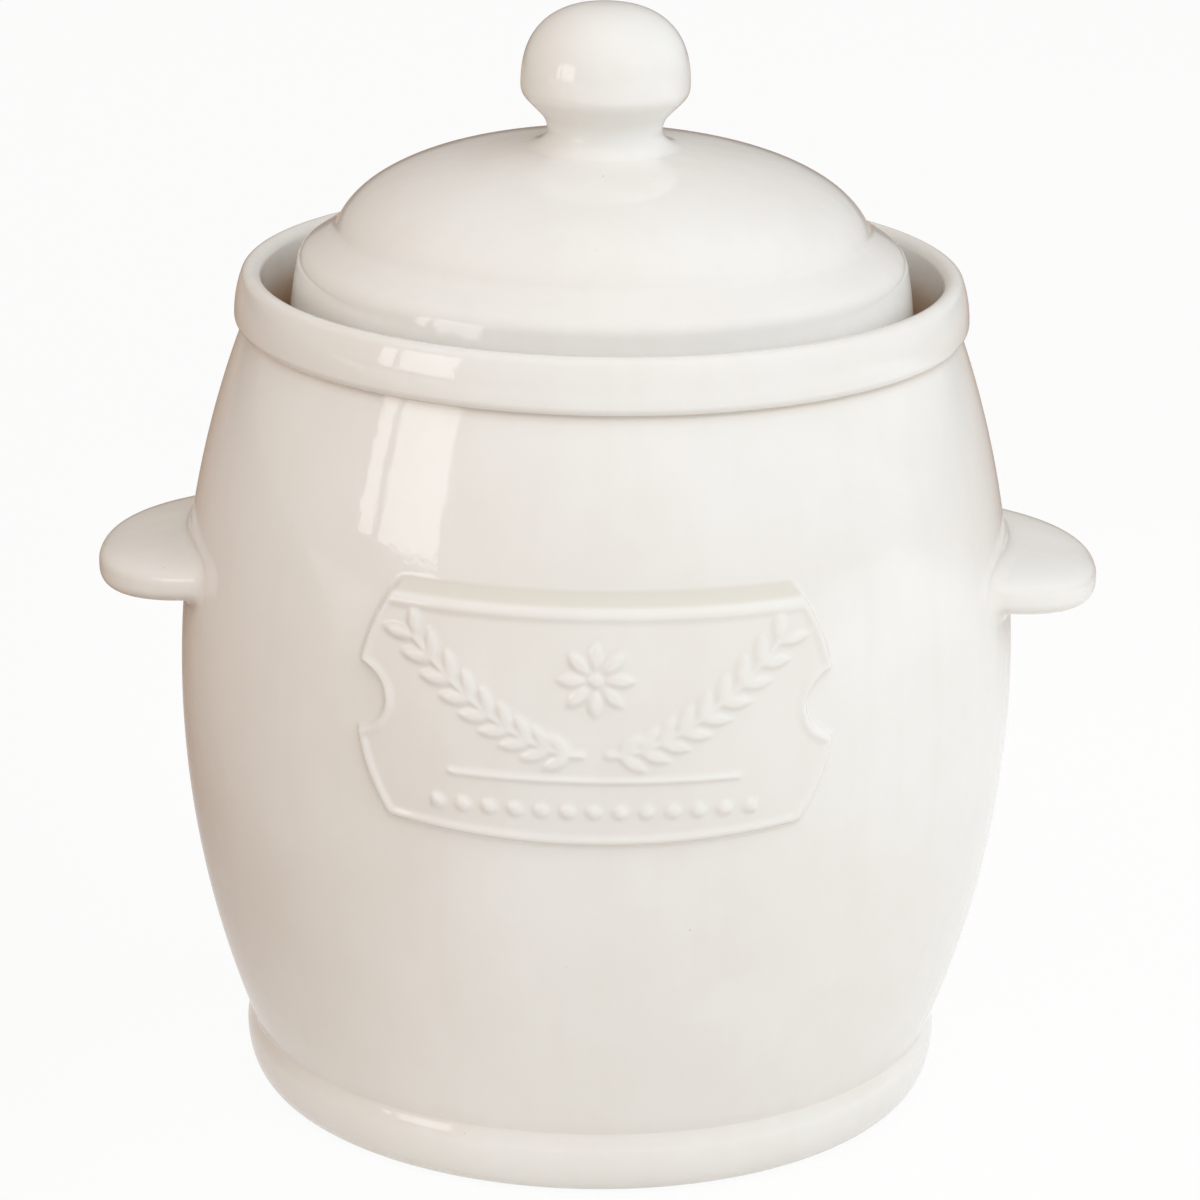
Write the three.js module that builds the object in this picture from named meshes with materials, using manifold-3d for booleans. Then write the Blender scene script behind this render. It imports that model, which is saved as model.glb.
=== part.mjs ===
// Barrel fermentation crock: a bellied stoneware pot with a water-seal channel round its mouth,
// a bell lid standing in that channel, and two half-round pressing weights inside.
// Millimetres, +Z up. The origin is the centre of the foot. The plaque faces -Y, the handles +X and -X.
import * as THREE from 'three';
import { mergeVertices } from 'three/addons/utils/BufferGeometryUtils.js';
import Module from 'manifold-3d';

// Barrel
const bellyRadius = 105; // outside, at the widest circle
const bellyHeight = 108; // height of that circle
const bellyArc = 252; // radius of the side's curve from foot to rim
const wallThickness = 8;
const seamGap = 0.3; // glaze-filled seam between neighbouring pieces

// Foot and floor
const footHeight = 16.5; // up to the crease under the barrel
const footOverhang = 1.2; // the bead past the barrel's lower edge
const footRound = 6; // radius lost from the bead's widest circle down to the ground
const footLip = 4.5; // upper outside edge
const standWidth = 15; // flat ring that the crock stands on
const recessDepth = 3.5; // hollow under the floor
const recessSlope = 3; // width of the recess's sloping side
const floorThickness = 9.5;
const floorCove = 7; // round between floor and wall

// Rim band
const rimSeamHeight = 197.5; // the crease under the band
const rimBandHeight = 13.5;
const rimOverhang = 2.2; // the band past the barrel's upper edge
const rimThickness = 6.6;
const rimLean = 1.3; // radius lost from the band's widest circle up to its crest
const rimUnderRound = 2.2; // lower outside edge

// Water channel
const channelDepth = 27; // rim crest down to the channel's floor
const channelWidth = 17; // rim wall to collar
const channelFloorThickness = 7;
const collarThickness = 5.5;
const collarHeight = 19; // above the channel's floor

// Lid
const lidClearance = 6; // skirt's lower edge to the rim wall
const skirtThickness = 5.5;
const skirtHeight = 27.4; // channel floor to the start of the shoulder
const skirtTaper = 2.6; // radius lost from the skirt's foot to the shoulder
const shoulderRound = 6;
const shoulderEnd = 57; // degrees at which the shoulder turns into the crease
const creaseRound = 4; // hollow between shoulder and dome
const creaseOut = 2.5; // its centre past the dome's circle
const creaseUp = 6.7; // its centre above that circle
const creaseFrom = 238; // degrees at the shoulder
const creaseTo = 204; // degrees at the dome
const domeInset = 8.7; // shoulder's edge in to the dome's own circle
const domeLift = 5.4; // dome's circle above the start of the shoulder
const domeRise = 25.4;
const domePower = 2.4; // 2 is an ellipse, more is a fuller dome
const domeEnd = 78.5; // degrees from its top, where the dome runs into the crease
const domeThickness = 6;
const innerDomeRise = 33;
const ventCount = 4;
const ventWidth = 10;
const ventHeight = 7;

// Knob
const neckRadius = 14.2;
const neckRise = 3.7; // narrowest circle above the dome's top
const neckFlare = 6.3; // reach of the neck's foot over the dome
const neckCove = 5; // round from the neck out to the knob's underside
const knobRadius = 20.9;
const knobRise = 10.6; // widest circle above the narrowest
const knobUnderRound = 4.5; // edge below the widest circle
const knobUnderSlope = 45; // degrees, of the underside between cove and edge
const knobTopRise = 20.1; // top above the widest circle
const knobPower = 2.4; // 2 is an ellipse, more is a fuller top

// Handles
const handleHeight = 136.6; // middle of the handle where it leaves the barrel
const handleReach = 21.8; // tip past the barrel
const handleHalfWidth = 37;
const handleRoot = 14; // how far the outline starts inside the barrel's surface
const handleThickness = 12;
const handleEdge = 5.4; // rounding of the edge
const handleDroop = 7; // degrees down towards the tip

// Plaque
const plaqueBottom = 98; // height of its lower edge
const plaqueHeight = 57.5;
const plaqueWidth = 112.4; // where the sides bulge most
const plaqueWaist = 31.5; // height of that place above the lower edge
const plaqueSideArc = 54; // radius of the bulging sides
const plaqueBow = 2.8; // rise of the lower edge towards its corners
const plaqueNotch = 8; // radius of the notch in each side
const plaqueNotchOut = 1.1; // notch's centre past the bulge
const plaqueProudBottom = 1.4;
const plaqueProudTop = 3.7;
const plaqueBevel = 4; // height of the slope above the upper edge

// Pressing weights
const weightThickness = 18;
const weightClearance = 4; // to the round at the floor's edge
const weightSplit = 6; // gap between the two halves
const weightEdge = 2; // rounding
const fingerHoleRadius = 11;
const fingerHoleShare = 0.48; // hole's distance from the middle, as a share of the weight's radius

// Facets
const turnSides = 48;
const smallTurnSides = 32;
const sideSteps = 12;
const domeSteps = 9;
const roundSteps = 4;
const capSteps = 8;
const ovalSides = 32;
const holeSides = 24;
const weightEdgeSteps = 2;
const weldDistance = 1e-4;

// Levels and radii that the pieces share
const rimTop = rimSeamHeight + rimBandHeight;
const rimOuterRadius = barrelRadius(rimSeamHeight) + rimOverhang;
const channelOuterRadius = rimOuterRadius - rimThickness;
const channelFloor = rimTop - channelDepth;
const collarOuterRadius = channelOuterRadius - channelWidth;
const collarInnerRadius = collarOuterRadius - collarThickness;
const floorTop = recessDepth + floorThickness;
const floorRadius = barrelRadius(footHeight) - wallThickness - floorCove;
const skirtFootRadius = channelOuterRadius - lidClearance;
const skirtTopRadius = skirtFootRadius - skirtTaper;
const shoulderLevel = channelFloor + skirtHeight;
const domeRadius = skirtTopRadius - domeInset;
const domeFoot = shoulderLevel + domeLift;
const domeTop = domeFoot + domeRise;

const { Manifold, Mesh: SolidMesh } = await Module().then((library) => {
  library.setup();
  return library;
});

const glaze = { color: 0xe9e4dc, roughness: 0.18, metalness: 0 };
const bareClay = { color: 0xd8cdbd, roughness: 0.75, metalness: 0 };

function barrelRadius(z) {
  return bellyRadius - bellyArc + Math.sqrt(bellyArc ** 2 - (z - bellyHeight) ** 2);
}

// Inside of the barrel: the wall's thickness in from the outside, then straight up beside the channel
function barrelInnerRadius(z) {
  return Math.max(barrelRadius(z) - wallThickness, z > bellyHeight ? channelOuterRadius : 0);
}

// Height of the lid's dome at a distance from the axis
function domeHeight(radius) {
  return domeFoot + domeRise * Math.sqrt(1 - (radius / domeRadius) ** domePower);
}

function point(radius, z) {
  return new THREE.Vector2(radius, z);
}

// Points of a round stretch, angles in degrees from the outward direction
function arc(centreRadius, centreZ, radius, from, to, steps = roundSteps) {
  return Array.from({ length: steps + 1 }, (_, i) => {
    const angle = THREE.MathUtils.degToRad(from + ((to - from) * i) / steps);
    return point(centreRadius + radius * Math.cos(angle), centreZ + radius * Math.sin(angle));
  });
}

// Points of a side that follows a radius function between two heights
function side(radiusAt, fromZ, toZ, steps = sideSteps) {
  return Array.from({ length: steps + 1 }, (_, i) => {
    const z = fromZ + ((toZ - fromZ) * i) / steps;
    return point(radiusAt(z), z);
  });
}

// Points of a dome r = R sin(t)^(2/power), z = foot + rise cos(t), from its top outwards
function dome(radius, foot, rise, endDegrees) {
  return Array.from({ length: domeSteps + 1 }, (_, i) => {
    const t = THREE.MathUtils.degToRad((endDegrees * i) / domeSteps);
    return point(radius * Math.sin(t) ** (2 / domePower), foot + rise * Math.cos(t));
  });
}

// Points round an oval centred on the X axis
function oval(centreX, radiusX, radiusY, count) {
  return Array.from({ length: count }, (_, i) => {
    const angle = (2 * Math.PI * i) / count;
    return point(centreX + radiusX * Math.cos(angle), radiusY * Math.sin(angle));
  });
}

function turned(profile, sides = turnSides) {
  return new THREE.LatheGeometry(profile, sides).rotateX(Math.PI / 2);
}

function turnedRing(profile) {
  return turned([...profile, profile[0].clone()]);
}

function toSolid(geometry) {
  const bare = geometry.index ? geometry.clone() : geometry;
  bare.deleteAttribute('normal');
  bare.deleteAttribute('uv');
  const merged = mergeVertices(bare, weldDistance);
  const corners = merged.index.array;
  const kept = [];
  for (let i = 0; i < corners.length; i += 3) {
    const [a, b, c] = corners.slice(i, i + 3);
    if (a !== b && b !== c && c !== a) kept.push(a, b, c);
  }
  return new Manifold(
    new SolidMesh({
      numProp: 3,
      vertProperties: new Float32Array(merged.attributes.position.array),
      triVerts: new Uint32Array(kept),
    }),
  );
}

function toGeometry(solid) {
  const { vertProperties, triVerts } = solid.getMesh();
  const geometry = new THREE.BufferGeometry();
  geometry.setAttribute('position', new THREE.BufferAttribute(vertProperties, 3));
  geometry.setIndex(new THREE.BufferAttribute(triVerts, 1));
  geometry.computeVertexNormals();
  return geometry;
}

// Everything inside the barrel's outer surface, grown by the seam, for cutting what is luted onto it
function barrelCutter() {
  const outside = side((z) => barrelRadius(z) + seamGap, footHeight, rimSeamHeight);
  return toSolid(turned([point(0, footHeight), ...outside, point(0, rimSeamHeight)]));
}

function barrelWall() {
  const bottom = footHeight;
  const top = rimSeamHeight - seamGap;
  return turnedRing([
    ...side(barrelRadius, bottom, top),
    ...side(barrelInnerRadius, top, bottom),
  ]);
}

function footBase() {
  const top = footHeight - seamGap;
  const outer = barrelRadius(footHeight) + footOverhang;
  const standOuter = outer - footRound;
  const standInner = standOuter - standWidth;
  const widest = top - footLip;
  const lowerEdge = arc(0, 0, 1, -90, 0).map((p) => point(standOuter + footRound * p.x, widest * (1 + p.y)));
  return turned([
    point(0, recessDepth),
    point(standInner - recessSlope, recessDepth),
    point(standInner, 0),
    ...lowerEdge,
    ...arc(outer - footLip, widest, footLip, 0, 90),
    ...coveToFloor(top),
    point(0, floorTop),
  ]);
}

// Hollow round from the wall's foot down to the floor: a quarter of an ellipse
function coveToFloor(top) {
  return Array.from({ length: roundSteps + 1 }, (_, i) => {
    const angle = (Math.PI / 2) * (i / roundSteps);
    return point(floorRadius + floorCove * Math.cos(angle), top - (top - floorTop) * Math.sin(angle));
  });
}

function rimBand() {
  const crest = (rimThickness - rimLean) / 2;
  const underCentre = rimOuterRadius - rimUnderRound;
  return turnedRing([
    point(channelOuterRadius, rimSeamHeight),
    ...arc(underCentre, rimSeamHeight + rimUnderRound, rimUnderRound, -90, 0),
    ...arc(channelOuterRadius + crest, rimTop - crest, crest, 0, 180, capSteps),
  ]);
}

function waterChannel() {
  const under = channelFloor - channelFloorThickness;
  const crest = collarThickness / 2;
  const collarTop = channelFloor + collarHeight;
  const outerEdge = (z) => barrelInnerRadius(z) - seamGap;
  return turnedRing([
    point(collarInnerRadius, under),
    ...side(outerEdge, under, channelFloor, 1),
    point(collarOuterRadius, channelFloor),
    ...arc(collarOuterRadius - crest, collarTop - crest, crest, 0, 180),
  ]);
}

function lidBell() {
  const edge = skirtThickness / 2;
  const edgeLevel = channelFloor + seamGap + edge;
  const edgeCentre = skirtFootRadius - edge;
  const innerRadius = skirtTopRadius - skirtThickness;
  const innerTop = domeTop - domeThickness;
  const outside = dome(domeRadius, domeFoot, domeRise, domeEnd);
  const inside = dome(innerRadius, innerTop - innerDomeRise, innerDomeRise, 90);
  const bell = turned([
    ...inside,
    ...arc(edgeCentre, edgeLevel, edge, -180, 0),
    ...arc(skirtTopRadius - shoulderRound, shoulderLevel, shoulderRound, 0, shoulderEnd),
    ...arc(domeRadius + creaseOut, domeFoot + creaseUp, creaseRound, creaseFrom, creaseTo),
    ...outside.reverse(),
  ]);
  return toGeometry(vents().reduce((solid, vent) => solid.subtract(vent), toSolid(bell)));
}

// Round-topped notches in the skirt's lower edge, where gas bubbles out through the water
function vents() {
  const arch = ventWidth / 2;
  const spring = ventHeight - arch;
  const below = skirtThickness;
  const outline = new THREE.Shape();
  outline.moveTo(-arch, -below);
  outline.lineTo(arch, -below);
  outline.lineTo(arch, spring);
  outline.absarc(0, spring, arch, 0, Math.PI, false);
  const settings = { depth: skirtFootRadius, bevelEnabled: false, curveSegments: capSteps };
  return Array.from({ length: ventCount }, (_, i) => {
    const notch = new THREE.ExtrudeGeometry(outline, settings);
    notch.rotateX(Math.PI / 2);
    notch.translate(0, -collarInnerRadius, channelFloor + seamGap);
    notch.rotateZ((2 * Math.PI * i) / ventCount);
    return toSolid(notch);
  });
}

// A flared neck, a sloping underside with a rounded edge, and a superellipse for the top
function lidKnob() {
  const neckLevel = domeTop + neckRise;
  const widest = neckLevel + knobRise;
  const footRadius = neckRadius + neckFlare;
  const seat = (radius) => point(radius, domeHeight(radius) + seamGap);
  const flareDrop = neckLevel - seat(footRadius).y;
  const flare = arc(1, 0, 1, 270, 180).map(
    (p) => point(neckRadius + neckFlare * p.x, neckLevel + flareDrop * p.y),
  );
  const cap = arc(0, 0, 1, 0, 90, capSteps).slice(1, -1);
  const fullness = 2 / knobPower;
  return turned(
    [
      seat(0),
      seat(neckRadius / 2),
      seat(neckRadius),
      ...flare,
      ...arc(neckRadius + neckCove, neckLevel, neckCove, 180, 180 - knobUnderSlope).slice(1),
      ...arc(knobRadius - knobUnderRound, widest, knobUnderRound, -knobUnderSlope, 0),
      ...cap.map((p) => point(knobRadius * p.x ** fullness, widest + knobTopRise * p.y ** fullness)),
      point(0, widest + knobTopRise),
    ],
    smallTurnSides,
  );
}

// A rounded tongue that leans down towards its tip, cut to the barrel's curve
function handle(cutter, turnDegrees) {
  const surface = barrelRadius(handleHeight);
  const outline = new THREE.Shape(oval(0, handleRoot + handleReach, handleHalfWidth, ovalSides));
  const lug = new THREE.ExtrudeGeometry(outline, {
    depth: handleThickness - 2 * handleEdge,
    bevelThickness: handleEdge,
    bevelSize: handleEdge,
    bevelOffset: -handleEdge,
    bevelSegments: roundSteps,
  });
  lug.translate(-handleRoot, 0, handleEdge - handleThickness / 2);
  lug.rotateY(THREE.MathUtils.degToRad(handleDroop));
  lug.translate(surface, 0, handleHeight);
  lug.rotateZ(THREE.MathUtils.degToRad(turnDegrees));
  return toGeometry(toSolid(lug).subtract(cutter));
}

// Outline of the raised panel: a bowed lower edge, bulging sides and a straight top
function plaqueOutline(top, waist) {
  const half = plaqueWidth / 2;
  const sideX = (z) => half - plaqueSideArc + Math.sqrt(plaqueSideArc ** 2 - (z - waist) ** 2);
  const corner = plaqueBottom + plaqueBow;
  const lowerEdge = Array.from({ length: capSteps - 1 }, (_, i) => {
    const share = (2 * (i + 1)) / capSteps - 1;
    return point(share * sideX(corner), plaqueBottom + plaqueBow * share ** 2);
  });
  const right = side(sideX, corner, top, capSteps);
  const left = right.map((p) => point(-p.x, p.y)).reverse();
  return new THREE.Shape([...lowerEdge, ...right, ...left]);
}

// Raised panel, notched at both sides: its outline cut from a shell that follows the barrel
function labelPlaque(cutter) {
  const top = plaqueBottom + plaqueHeight;
  const slopeTop = top + plaqueBevel;
  const waist = plaqueBottom + plaqueWaist;
  const depth = bellyRadius + plaqueProudTop;
  const block = new THREE.ExtrudeGeometry(plaqueOutline(slopeTop, waist), { depth, bevelEnabled: false });
  block.rotateX(Math.PI / 2);
  const proud = (z) => {
    const share = (z - plaqueBottom) / plaqueHeight;
    return plaqueProudBottom + (plaqueProudTop - plaqueProudBottom) * share;
  };
  const face = side((z) => barrelRadius(z) + proud(z), plaqueBottom, top, capSteps);
  const shell = toSolid(
    turned([point(0, plaqueBottom), ...face, point(barrelRadius(slopeTop), slopeTop), point(0, slopeTop)]),
  );
  const notches = [-1, 1].map((sign) => {
    const notch = new THREE.CylinderGeometry(plaqueNotch, plaqueNotch, depth, holeSides);
    return toSolid(notch.translate(sign * (plaqueWidth / 2 + plaqueNotchOut), -depth / 2, waist));
  });
  const panel = toSolid(block).intersect(shell).subtract(cutter);
  return toGeometry(notches.reduce((solid, notch) => solid.subtract(notch), panel));
}

// Half disc with a finger hole, lying on the floor
function pressingWeight(turnDegrees) {
  const radius = floorRadius - weightClearance - weightEdge;
  const flat = weightSplit / 2 + weightEdge;
  const end = Math.acos(flat / radius);
  const outline = new THREE.Shape();
  outline.absarc(0, 0, radius, -end, end, false);
  const holeRadius = fingerHoleRadius + weightEdge;
  const hole = oval(radius * fingerHoleShare, holeRadius, holeRadius, holeSides);
  outline.holes.push(new THREE.Path(hole.reverse()));
  const stone = new THREE.ExtrudeGeometry(outline, {
    depth: weightThickness - 2 * weightEdge,
    curveSegments: holeSides,
    bevelThickness: weightEdge,
    bevelSize: weightEdge,
    bevelSegments: weightEdgeSteps,
  });
  stone.translate(0, 0, floorTop + seamGap + weightEdge);
  return stone.rotateZ(THREE.MathUtils.degToRad(turnDegrees));
}

const crock = new THREE.Group();

function addPiece(name, geometry, finish) {
  const mesh = new THREE.Mesh(geometry, new THREE.MeshStandardMaterial(finish));
  mesh.name = name;
  crock.add(mesh);
}

const cutter = barrelCutter();
addPiece('barrel_wall', barrelWall(), glaze);
addPiece('foot_base', footBase(), glaze);
addPiece('rim_band', rimBand(), glaze);
addPiece('water_channel', waterChannel(), glaze);
addPiece('left_handle', handle(cutter, 180), glaze);
addPiece('right_handle', handle(cutter, 0), glaze);
addPiece('label_plaque', labelPlaque(cutter), glaze);
addPiece('lid_bell', lidBell(), glaze);
addPiece('lid_knob', lidKnob(), glaze);
addPiece('left_weight', pressingWeight(180), bareClay);
addPiece('right_weight', pressingWeight(0), bareClay);

export default crock;
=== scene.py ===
import math

import bpy
import numpy as np
from mathutils import Euler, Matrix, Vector


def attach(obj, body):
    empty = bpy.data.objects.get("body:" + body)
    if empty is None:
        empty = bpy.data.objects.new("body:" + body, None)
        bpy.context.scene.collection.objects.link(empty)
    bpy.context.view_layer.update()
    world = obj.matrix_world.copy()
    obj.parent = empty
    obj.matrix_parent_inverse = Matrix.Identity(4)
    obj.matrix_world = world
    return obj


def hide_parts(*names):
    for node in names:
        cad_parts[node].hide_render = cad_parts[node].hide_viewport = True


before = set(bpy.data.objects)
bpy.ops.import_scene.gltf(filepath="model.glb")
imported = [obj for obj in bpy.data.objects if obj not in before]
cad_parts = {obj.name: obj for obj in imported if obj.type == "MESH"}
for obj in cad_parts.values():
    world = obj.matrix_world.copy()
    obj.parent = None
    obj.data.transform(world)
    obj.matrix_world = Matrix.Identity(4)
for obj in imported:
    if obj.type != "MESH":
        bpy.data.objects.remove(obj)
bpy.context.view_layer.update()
mm = 0.001  # settings of the pieces are in millimetres, those of the stage in metres
print("frame loaded,", len(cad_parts), "nodes")


# Lines and grids

# Points on a circle, the angle running evenly from the outward direction
def arcRun(centreR, centreZ, radius, fromDeg, toDeg, count=14):
    turn = np.radians(np.linspace(fromDeg, toDeg, count))
    return np.column_stack([centreR + radius * np.cos(turn), centreZ + radius * np.sin(turn)])


# Runs put end to end, repeated points dropped, and a point added at least every step
def joinRuns(*runs, step=1.2):
    line = np.concatenate([np.atleast_2d(run) for run in runs])
    line = line[np.r_[True, np.hypot(*np.diff(line, axis=0).T) > 1e-3]]
    gap = np.hypot(*np.diff(line, axis=0).T)
    parts = np.maximum(np.ceil(gap / step), 1).astype(int)
    first = np.repeat(np.arange(len(gap)), parts)
    share = (np.arange(parts.sum()) - np.repeat(np.cumsum(parts) - parts, parts)) / np.repeat(parts, parts)
    return np.vstack([line[first] + share[:, None] * (line[first + 1] - line[first]), line[-1]])


# Each inner point moves to a quarter of its two neighbours plus half of itself, as glaze rounds a corner
def soften(line, passes):
    for _ in range(passes):
        line[1:-1] = (line[:-2] + 2 * line[1:-1] + line[2:]) / 4
    return line


# The larger of two values, with a parabola across the stretch where they are closer than the width
def softMax(a, b, width):
    near = np.maximum(width - np.abs(a - b), 0) / width
    return np.maximum(a, b) + near**2 * width / 4


# Zero below low, one above high, and a smooth cubic between
def smoothStep(low, high, value):
    share = np.clip((value - low) / (high - low), 0, 1)
    return share * share * (3 - 2 * share)


# A profile carried round the axis: x is r cos t, y is r sin t
def turnGrid(profile, sides):
    turn = np.linspace(0, 2 * np.pi, sides, endpoint=False)
    r, z = profile[:, 0, None], profile[:, 1, None]
    return np.stack([r * np.cos(turn), r * np.sin(turn), z + 0 * turn], axis=-1)


# Quads between neighbouring grid points; rows that fall into one point become a pole of triangles. Each extra
# value goes into a point attribute of that name
def meshFromGrid(name, grid, loopRows=False, **values):
    rows, columns = grid.shape[:2]
    i, j = np.meshgrid(np.arange(rows - (not loopRows)), np.arange(columns), indexing="ij")
    below, beside = (i + 1) % rows * columns, (j + 1) % columns
    corners = [i * columns + j, i * columns + beside, below + beside, below + j]
    quads = np.stack(corners, axis=-1).reshape(-1, 4)
    index = np.arange(rows * columns).reshape(rows, columns)
    pole = np.ptp(grid, axis=1).max(axis=1) < 1e-6
    index[pole] = index[pole][:, :1]
    used, quads = np.unique(index.ravel()[quads], return_inverse=True)
    quads = quads.reshape(-1, 4)
    doubled = quads == np.roll(quads, -1, axis=1)
    whole = ~doubled.any(axis=1)
    triangles = quads[~whole][~doubled[~whole]].reshape(-1, 3)
    mesh = bpy.data.meshes.new(name)
    points = grid.reshape(-1, 3)[used] * mm
    mesh.from_pydata(points.tolist(), [], quads[whole].tolist() + triangles.tolist())
    mesh.shade_smooth()
    for label, value in values.items():
        spread = np.broadcast_to(value, (rows, columns)).ravel()[used].astype(np.float32)
        mesh.attributes.new(label, "FLOAT", "POINT").data.foreach_set("value", spread)
    return mesh


# Nearness to a place on the profile: one at the place, falling off as a bell of that reach
def nearness(profile, r, z, reach):
    away = np.hypot(profile[:, 0] - r, profile[:, 1] - z)
    return np.exp(-((away / reach) ** 2))[:, None]


# A finished piece: it rides its body and stands for one CAD node
def placePiece(name, mesh, body, nodeName, material):
    piece = bpy.data.objects.new(name, mesh)
    bpy.context.scene.collection.objects.link(piece)
    mesh.materials.append(material)
    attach(piece, body)
    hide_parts(nodeName)
    print("made", name, len(mesh.polygons), "faces")


# Node helpers

# A node at its place in the editor, with its own settings and socket values
def addNode(tree, kind, at=(0, 0), sockets=None, **settings):
    made = tree.nodes.new(kind)
    made.location = at
    for label, value in settings.items():
        setattr(made, label, value)
    for label, value in (sockets or {}).items():
        made.inputs[label].default_value = value
    return made


# An empty group with named sockets, its input node and its output node
def newGroup(name, inputs, outputs):
    tree = bpy.data.node_groups.new(name, "ShaderNodeTree")
    for label, kind, value in inputs:
        tree.interface.new_socket(label, in_out="INPUT", socket_type=kind).default_value = value
    for label, kind in outputs:
        tree.interface.new_socket(label, in_out="OUTPUT", socket_type=kind)
    start = addNode(tree, "NodeGroupInput", (-1200, 0))
    end = addNode(tree, "NodeGroupOutput", (900, 0))
    return tree, start, end


# A socket takes a link from another socket, or else a plain value
def feed(tree, socket, source):
    if hasattr(source, "is_linked"):
        tree.links.new(source, socket)
    else:
        socket.default_value = source


# Colour a at factor 0, colour b at factor 1
def mixColour(tree, at, factor, a, b):
    made = addNode(tree, "ShaderNodeMix", at, data_type="RGBA")
    for place, source in ((0, factor), (6, a), (7, b)):
        feed(tree, made.inputs[place], source)
    return made.outputs[2]


# One operation on two values, held between 0 and 1 where it is clamped
def mathNode(tree, at, operation, a, b=0.0, clamp=False):
    made = addNode(tree, "ShaderNodeMath", at, operation=operation, use_clamp=clamp)
    for socket, source in zip(made.inputs, (a, b)):
        feed(tree, socket, source)
    return made.outputs[0]


# Cream tone: two creams mottled by slow noise, faint upright dip marks and dark pinholes; greyer where the
# glaze lies thick, brown where it pools in deep corners and creases. Both are also painted shade: the brown
# in the creases and the gap round the lid, the grey on the plaque's hollow ledge
def makeToneGroup():
    tree, start, end = newGroup(
        "glazeTone",
        [
            ("Cream", "NodeSocketColor", (0.8, 0.78, 0.72, 1)),
            ("Warm Cream", "NodeSocketColor", (0.75, 0.71, 0.63, 1)),
            ("Thick Shade Colour", "NodeSocketColor", (0.68, 0.65, 0.56, 1)),
            ("Pool Shade Colour", "NodeSocketColor", (0.4, 0.3, 0.2, 1)),
            ("Speck Colour", "NodeSocketColor", (0.3, 0.24, 0.18, 1)),
            ("Thick Shade", "NodeSocketFloat", 0.0),
            ("Pool Shade", "NodeSocketFloat", 0.0),
            ("Mottle Scale", "NodeSocketFloat", 26.0),
            ("Speck Scale", "NodeSocketFloat", 170.0),
            ("Speck Size", "NodeSocketFloat", 0.05),
        ],
        [("Colour", "NodeSocketColor"), ("Specks", "NodeSocketFloat")],
    )
    place = addNode(tree, "ShaderNodeTexCoord", (-1200, -300))
    mottle = addNode(tree, "ShaderNodeTexNoise", (-900, 200), {"Detail": 4.0, "Roughness": 0.55})
    tree.links.new(place.outputs["Object"], mottle.inputs["Vector"])
    tree.links.new(start.outputs["Mottle Scale"], mottle.inputs["Scale"])
    upright = addNode(tree, "ShaderNodeMapping", (-1000, -100), {"Scale": (150, 150, 9)})
    tree.links.new(place.outputs["Object"], upright.inputs["Vector"])
    marks = addNode(tree, "ShaderNodeTexNoise", (-800, -100), {"Scale": 1.0, "Detail": 3.0})
    tree.links.new(upright.outputs["Vector"], marks.inputs["Vector"])
    blotch = addNode(tree, "ShaderNodeMapRange", (-600, 200), {"From Min": 0.35, "From Max": 0.68})
    tree.links.new(mottle.outputs["Fac"], blotch.inputs["Value"])
    dipRange = {"From Min": 0.5, "From Max": 0.75, "To Max": 0.35}
    dip = addNode(tree, "ShaderNodeMapRange", (-600, -100), dipRange)
    tree.links.new(marks.outputs["Fac"], dip.inputs["Value"])
    warmth = mathNode(tree, (-400, 100), "ADD", blotch.outputs[0], dip.outputs[0], clamp=True)
    body = mixColour(tree, (-200, 200), warmth, start.outputs["Cream"], start.outputs["Warm Cream"])
    cells = addNode(tree, "ShaderNodeTexVoronoi", (-900, -400), {"Randomness": 1.0})
    tree.links.new(place.outputs["Object"], cells.inputs["Vector"])
    tree.links.new(start.outputs["Speck Scale"], cells.inputs["Scale"])
    chance = addNode(tree, "ShaderNodeSeparateColor", (-700, -500))
    tree.links.new(cells.outputs["Color"], chance.inputs["Color"])
    size = mathNode(tree, (-500, -500), "MULTIPLY", chance.outputs["Red"], start.outputs["Speck Size"])
    inside = mathNode(tree, (-300, -400), "SUBTRACT", size, cells.outputs["Distance"])
    speck = mathNode(tree, (-100, -400), "MULTIPLY", inside, 40.0, clamp=True)  # crisp edge
    rare = mathNode(tree, (-300, -600), "SUBTRACT", chance.outputs["Green"], 0.7)  # in three cells of ten
    shown = mathNode(tree, (-100, -600), "MULTIPLY", rare, 2.2, clamp=True)  # weak to two thirds dark
    strength = mathNode(tree, (100, -400), "MULTIPLY", speck, shown)
    dotted = mixColour(tree, (100, 200), strength, body, start.outputs["Speck Colour"])
    # grey of thick glaze, which on the plaque's hollow ledge is painted shade as well
    thick = mixColour(tree, (300, 200), start.outputs["Thick Shade"], dotted, start.outputs["Thick Shade Colour"])
    # painted shade: the brown of pooled glaze together with the shade of creases, corners and the gap round
    # the lid
    pooled = mixColour(tree, (500, 200), start.outputs["Pool Shade"], thick, start.outputs["Pool Shade Colour"])
    tree.links.new(pooled, end.inputs["Colour"])
    tree.links.new(strength, end.inputs["Specks"])
    return tree


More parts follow.
